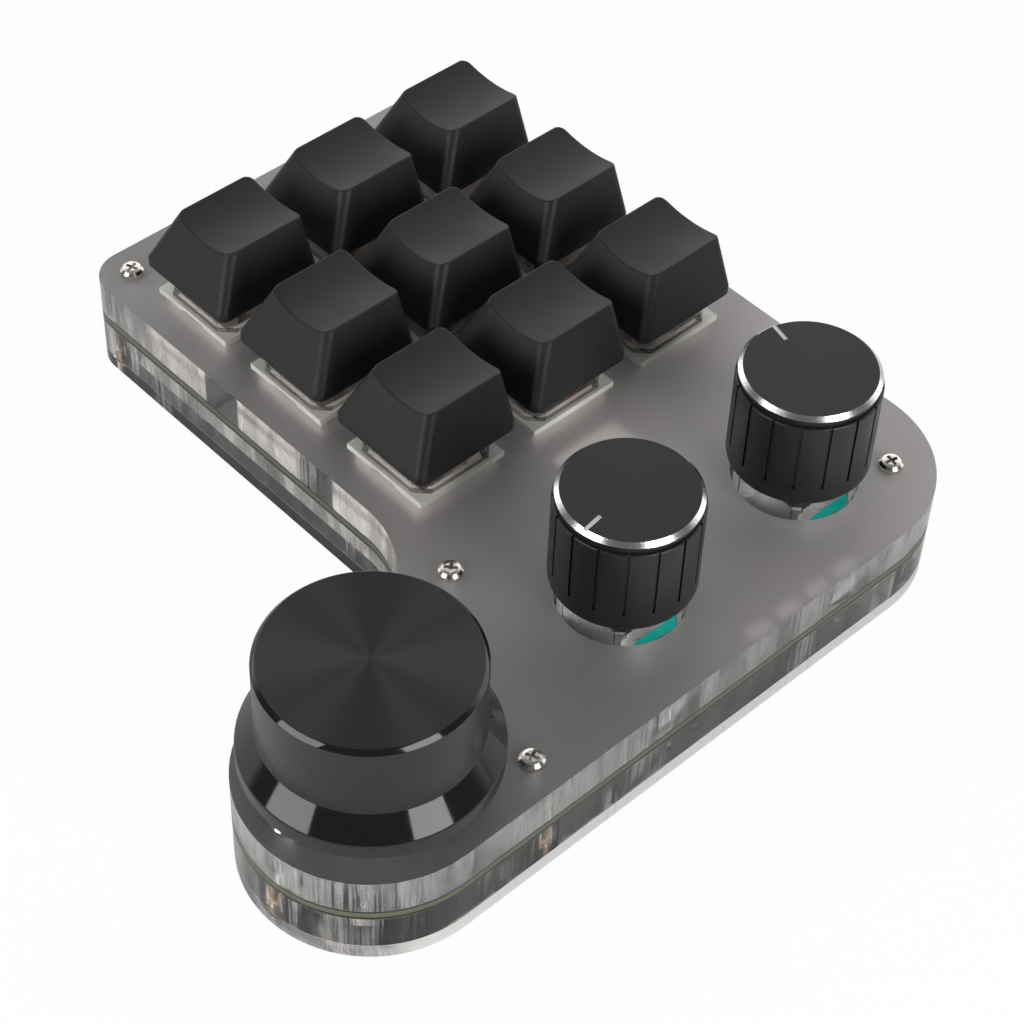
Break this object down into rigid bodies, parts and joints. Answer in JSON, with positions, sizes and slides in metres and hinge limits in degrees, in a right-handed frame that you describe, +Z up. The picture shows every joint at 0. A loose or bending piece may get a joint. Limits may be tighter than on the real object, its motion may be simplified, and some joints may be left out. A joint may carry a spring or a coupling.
{
  "type": "macro keypad",
  "caption": "L-shaped macro keypad: blank black keycaps on clear mechanical switches beside a column of push knobs, in screwed layers of acrylic round a circuit board.",
  "frame": {"origin": "under the middle of the keypad's bounding box, on the surface that it stands on", "axes": "+X to the user's right, +Y away from the user towards the connector edge, +Z up"},
  "size_m": [0.1166, 0.1171, 0.0371],
  "materials": {
    "clear_acrylic": "clear, polished edges",
    "frosted_acrylic": "frosted top face, polished edges",
    "board_laminate": "black solder mask, grey-green cut edge",
    "nickel_screw": "nickel plated",
    "brass_standoff": "turned",
    "stamped_steel": "bright stamped sheet",
    "black_package": "moulded",
    "white_switch": "moulded",
    "clear_switch": "clear moulded",
    "contact_metal": "tinned",
    "black_keycap": "fine satin grain",
    "red_stem": "moulded",
    "spring_steel": "drawn wire and sheet",
    "teal_case": "moulded",
    "ivory_rotor": "moulded",
    "shaft_metal": "turned",
    "black_anodised": "black anodised, spun top, glossy skirt",
    "dark_steel": "black oxide",
    "black_knob": "satin",
    "knob_cap_metal": "black face with a bright cut rim"
  },
  "bodies": {
    "housing": {"base_plate": "clear_acrylic", "base_frame": "clear_acrylic", "circuit_board": "board_laminate", "top_plate": "frosted_acrylic", "top_screws": "nickel_screw", "standoffs": "brass_standoff", "bottom_screws": "nickel_screw", "usb_socket": "stamped_steel", "controller_chip": "black_package", "board_diodes": "black_package", "switch_bases": "white_switch", "switch_covers": "clear_switch", "switch_pins": "contact_metal", "spring_1": "spring_steel", "spring_2": "spring_steel", "spring_3": "spring_steel", "spring_4": "spring_steel", "spring_5": "spring_steel", "spring_6": "spring_steel", "spring_7": "spring_steel", "spring_8": "spring_steel", "spring_9": "spring_steel", "front_encoder_case": "teal_case", "middle_encoder_case": "teal_case", "rear_encoder_case": "teal_case", "front_encoder_bracket": "stamped_steel", "middle_encoder_bracket": "stamped_steel", "rear_encoder_bracket": "stamped_steel", "encoder_pins": "contact_metal", "push_contacts": "spring_steel"},
    "key_1": {"keycap_1": "black_keycap", "stem_1": "red_stem"},
    "key_2": {"keycap_2": "black_keycap", "stem_2": "red_stem"},
    "key_3": {"keycap_3": "black_keycap", "stem_3": "red_stem"},
    "key_4": {"keycap_4": "black_keycap", "stem_4": "red_stem"},
    "key_5": {"keycap_5": "black_keycap", "stem_5": "red_stem"},
    "key_6": {"keycap_6": "black_keycap", "stem_6": "red_stem"},
    "key_7": {"keycap_7": "black_keycap", "stem_7": "red_stem"},
    "key_8": {"keycap_8": "black_keycap", "stem_8": "red_stem"},
    "key_9": {"keycap_9": "black_keycap", "stem_9": "red_stem"},
    "front_rotor": {"front_encoder_rotor": "ivory_rotor"},
    "front_dial": {"front_shaft": "shaft_metal", "big_knob": "black_anodised", "big_knob_set_screw": "dark_steel"},
    "middle_rotor": {"middle_encoder_rotor": "ivory_rotor"},
    "middle_dial": {"middle_shaft": "shaft_metal", "middle_knob": "black_knob", "middle_knob_cap": "knob_cap_metal"},
    "rear_rotor": {"rear_encoder_rotor": "ivory_rotor"},
    "rear_dial": {"rear_shaft": "shaft_metal", "rear_knob": "black_knob", "rear_knob_cap": "knob_cap_metal"}
  },
  "joints": [
    {"name": "key_1_press", "type": "slide", "parent": "housing", "child": "key_1", "axis": [0, 0, -1], "range_m": [0, 0.004], "stiffness_N_per_m": 75, "springref_m": -0.004, "deforming": ["spring_1"]},
    {"name": "key_2_press", "type": "slide", "parent": "housing", "child": "key_2", "axis": [0, 0, -1], "range_m": [0, 0.004], "stiffness_N_per_m": 75, "springref_m": -0.004, "deforming": ["spring_2"]},
    {"name": "key_3_press", "type": "slide", "parent": "housing", "child": "key_3", "axis": [0, 0, -1], "range_m": [0, 0.004], "stiffness_N_per_m": 75, "springref_m": -0.004, "deforming": ["spring_3"]},
    {"name": "key_4_press", "type": "slide", "parent": "housing", "child": "key_4", "axis": [0, 0, -1], "range_m": [0, 0.004], "stiffness_N_per_m": 75, "springref_m": -0.004, "deforming": ["spring_4"]},
    {"name": "key_5_press", "type": "slide", "parent": "housing", "child": "key_5", "axis": [0, 0, -1], "range_m": [0, 0.004], "stiffness_N_per_m": 75, "springref_m": -0.004, "deforming": ["spring_5"]},
    {"name": "key_6_press", "type": "slide", "parent": "housing", "child": "key_6", "axis": [0, 0, -1], "range_m": [0, 0.004], "stiffness_N_per_m": 75, "springref_m": -0.004, "deforming": ["spring_6"]},
    {"name": "key_7_press", "type": "slide", "parent": "housing", "child": "key_7", "axis": [0, 0, -1], "range_m": [0, 0.004], "stiffness_N_per_m": 75, "springref_m": -0.004, "deforming": ["spring_7"]},
    {"name": "key_8_press", "type": "slide", "parent": "housing", "child": "key_8", "axis": [0, 0, -1], "range_m": [0, 0.004], "stiffness_N_per_m": 75, "springref_m": -0.004, "deforming": ["spring_8"]},
    {"name": "key_9_press", "type": "slide", "parent": "housing", "child": "key_9", "axis": [0, 0, -1], "range_m": [0, 0.004], "stiffness_N_per_m": 75, "springref_m": -0.004, "deforming": ["spring_9"]},
    {"name": "front_dial_turn", "type": "hinge", "parent": "housing", "child": "front_rotor", "pos_m": [0.0404, -0.04065, 0.0128], "axis": [0, 0, 1], "continuous": true},
    {"name": "front_dial_press", "type": "slide", "parent": "front_rotor", "child": "front_dial", "axis": [0, 0, -1], "range_m": [0, 0.0005], "stiffness_N_per_m": 4000, "springref_m": -0.0004},
    {"name": "middle_dial_turn", "type": "hinge", "parent": "housing", "child": "middle_rotor", "pos_m": [0.0404, 0.00335, 0.0128], "axis": [0, 0, 1], "continuous": true},
    {"name": "middle_dial_press", "type": "slide", "parent": "middle_rotor", "child": "middle_dial", "axis": [0, 0, -1], "range_m": [0, 0.0005], "stiffness_N_per_m": 4000, "springref_m": -0.0004},
    {"name": "rear_dial_turn", "type": "hinge", "parent": "housing", "child": "rear_rotor", "pos_m": [0.0404, 0.03755, 0.0128], "axis": [0, 0, 1], "continuous": true},
    {"name": "rear_dial_press", "type": "slide", "parent": "rear_rotor", "child": "rear_dial", "axis": [0, 0, -1], "range_m": [0, 0.0005], "stiffness_N_per_m": 4000, "springref_m": -0.0004}
  ]
}
